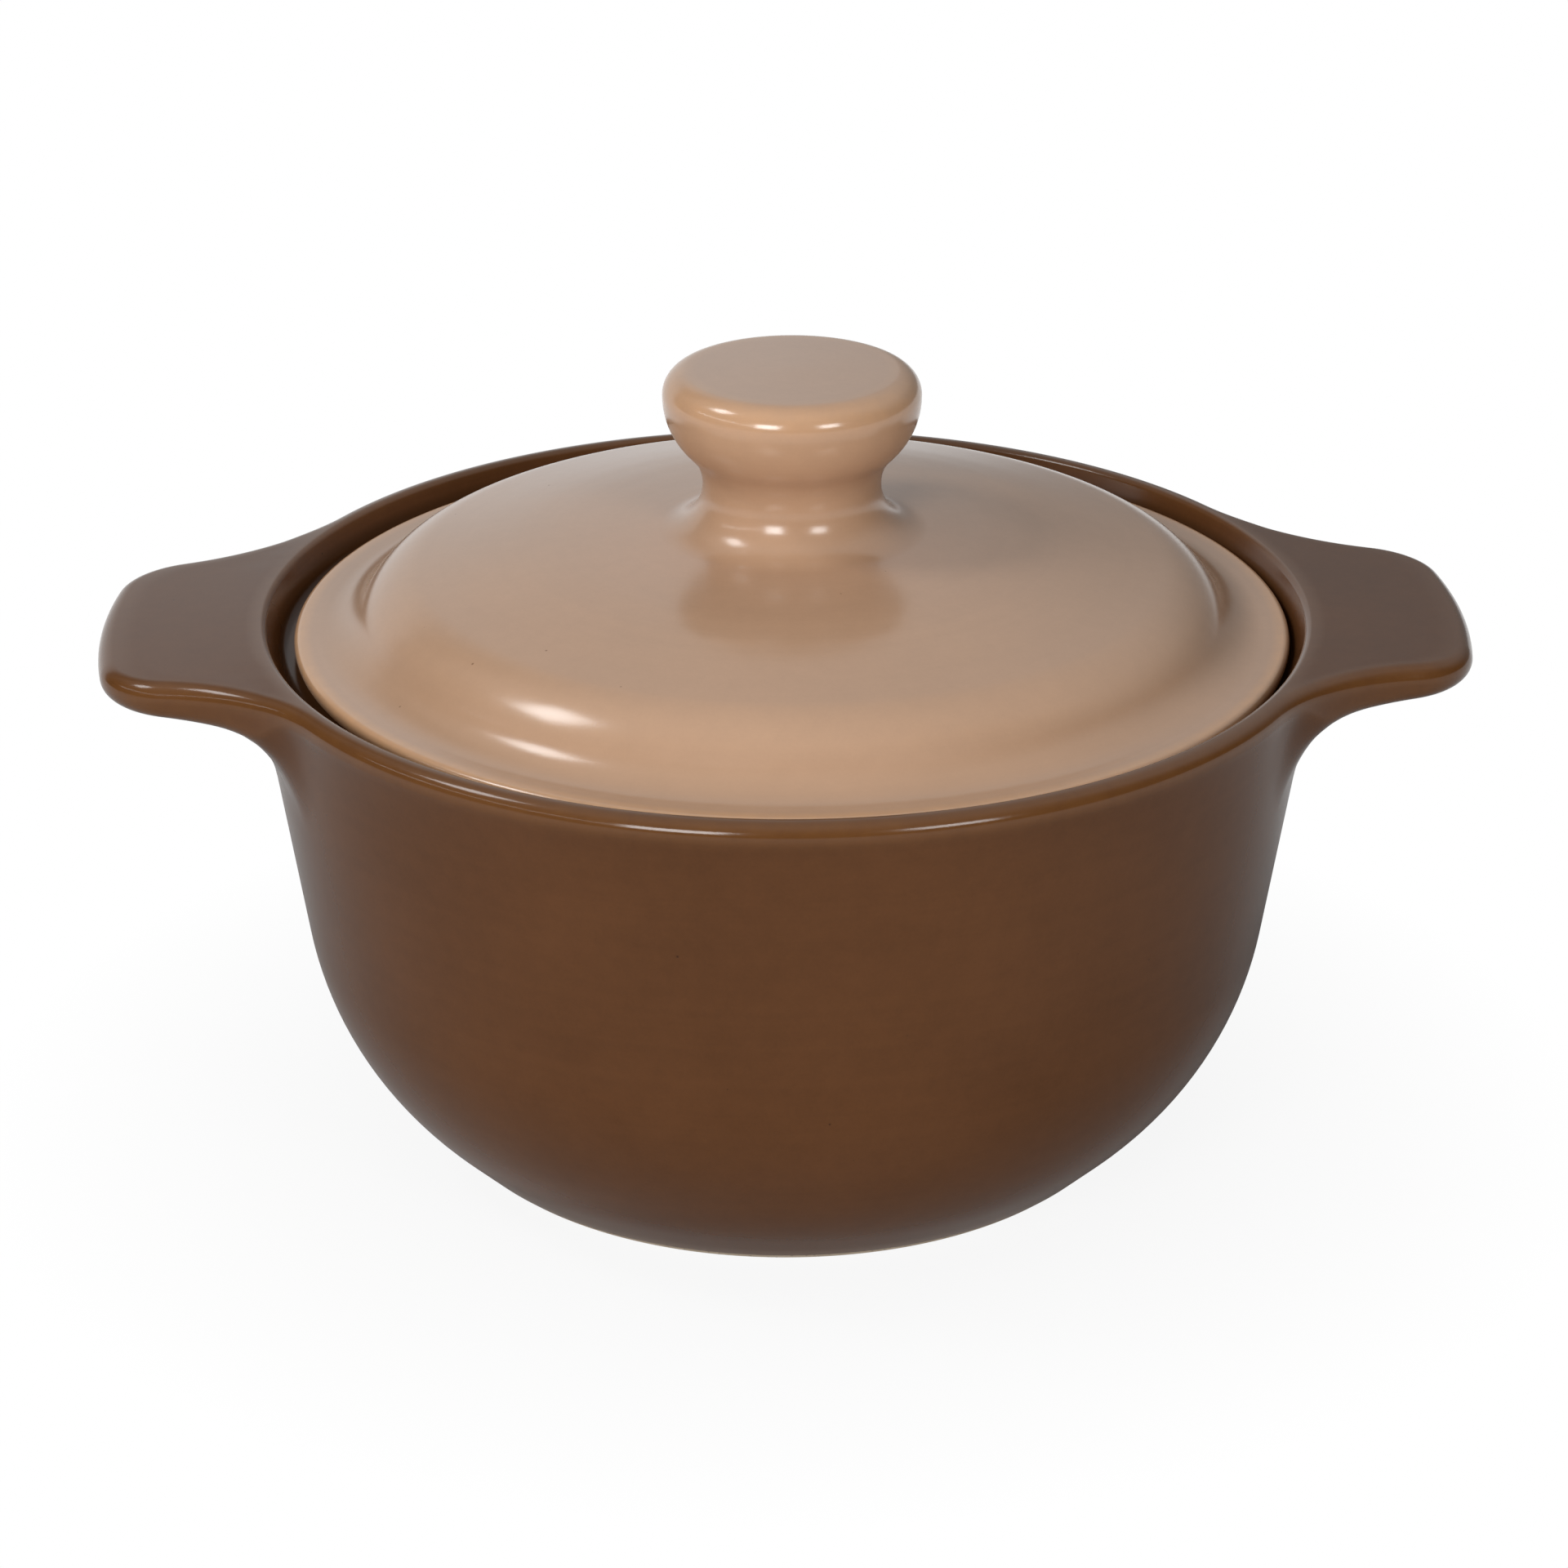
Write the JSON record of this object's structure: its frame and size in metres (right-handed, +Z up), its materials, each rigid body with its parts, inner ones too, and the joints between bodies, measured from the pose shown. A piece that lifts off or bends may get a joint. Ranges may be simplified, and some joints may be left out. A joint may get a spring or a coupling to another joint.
{
  "type": "lidded casserole pot",
  "caption": "Round stoneware casserole with lug handles level with its rim, and a loose domed lid that lies in a sunk ledge and lifts off by a waisted knob.",
  "frame": {"origin": "on the table, in the middle of the foot ring's resting face, on the bowl's turning axis", "axes": "+Z up along the bowl's turning axis, +X through the middle of the right handle, +Y away from the viewer"},
  "size_m": [0.276, 0.218, 0.1617],
  "materials": {
    "brown_glaze": "satin gloss brown glaze, breaking to a warmer brown on the edges",
    "tan_glaze": "satin gloss tan glaze with faint specks",
    "bare_clay": "matt unglazed stoneware"
  },
  "bodies": {
    "pot": {"pot_body": "brown_glaze", "foot_ring": "bare_clay", "left_handle": "brown_glaze", "right_handle": "brown_glaze"},
    "lid": {"lid_dome": "tan_glaze", "lid_knob": "tan_glaze"}
  },
  "joints": [
    {"name": "lid_lift", "type": "slide", "parent": "pot", "child": "lid", "axis": [0, 0, 1], "range_m": [0, 0.12]}
  ]
}
